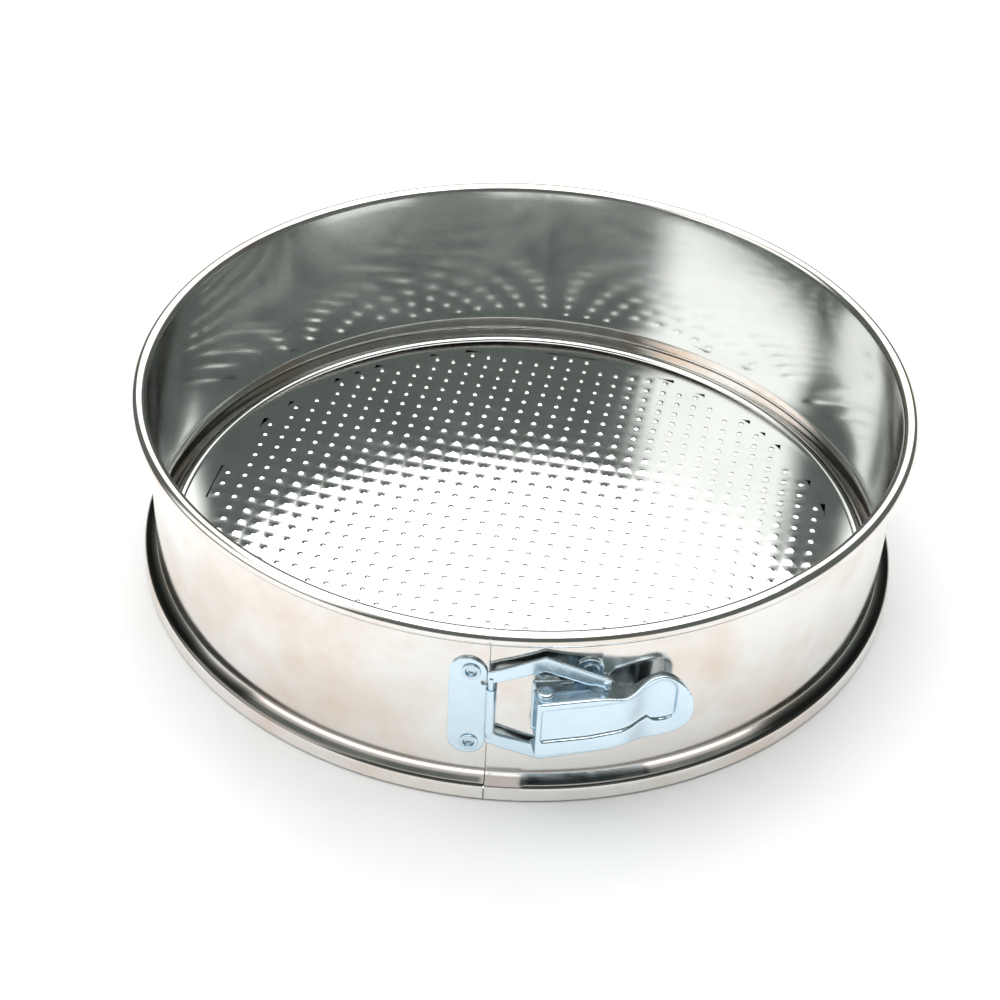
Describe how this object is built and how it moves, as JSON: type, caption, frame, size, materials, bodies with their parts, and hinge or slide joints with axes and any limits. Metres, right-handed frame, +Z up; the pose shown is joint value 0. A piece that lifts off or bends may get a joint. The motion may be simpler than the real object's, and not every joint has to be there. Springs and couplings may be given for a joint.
{
  "type": "springform pan",
  "caption": "Round springform cheese mold: split tinplate band with rolled rim, loose dimpled base plate and an over-centre draw latch at the seam.",
  "frame": {"origin": "on the pan's axis, on the surface it stands on (table = z 0)", "axes": "+Z up along the pan's axis; the seam faces -Y and the latch handle points towards +X"},
  "size_m": [0.2704, 0.2767, 0.07],
  "materials": {
    "tinplate": "bright rolled tinplate, lightly scuffed",
    "base_tinplate": "bright tinplate, dimpled",
    "zinc_plate": "blue-passivated zinc plating, satin",
    "rivet_steel": "zinc-plated steel"
  },
  "bodies": {
    "right_half": {"band_right": "tinplate", "rim_wire_right": "tinplate", "lever_bracket": "zinc_plate", "bracket_rivet_upper": "rivet_steel", "bracket_rivet_lower": "rivet_steel", "pivot_pin": "rivet_steel"},
    "left_half": {"band_left": "tinplate", "rim_wire_left": "tinplate", "anchor_plate": "zinc_plate", "anchor_rivet_upper": "rivet_steel", "anchor_rivet_lower": "rivet_steel"},
    "bail": {"bail": "zinc_plate"},
    "lever": {"lever": "zinc_plate"},
    "base": {"base_plate": "base_tinplate"}
  },
  "joints": [
    {"name": "lever_swing", "type": "hinge", "parent": "right_half", "child": "lever", "pos_m": [0.01731, -0.1361, 0.0385], "axis": [0, 0, -1], "range_deg": [0, 90]},
    {"name": "band_opening", "type": "hinge", "parent": "right_half", "child": "left_half", "pos_m": [0, 0.1355, 0.035], "axis": [0, 0, -1], "range_deg": [0, 0.96]},
    {"name": "bail_swing", "type": "hinge", "parent": "left_half", "child": "bail", "pos_m": [0.00061, -0.1325, 0.0385], "axis": [0, 0, -1], "range_deg": [0, 40.2]},
    {"name": "base_lift", "type": "slide", "parent": "right_half", "child": "base", "axis": [0, 0, 1], "range_m": [0, 0.085]}
  ],
  "couplings": [
    {"joint": "band_opening", "follows": "lever_swing", "ratio": 0.01063},
    {"joint": "bail_swing", "follows": "lever_swing", "ratio": 0.4461}
  ]
}
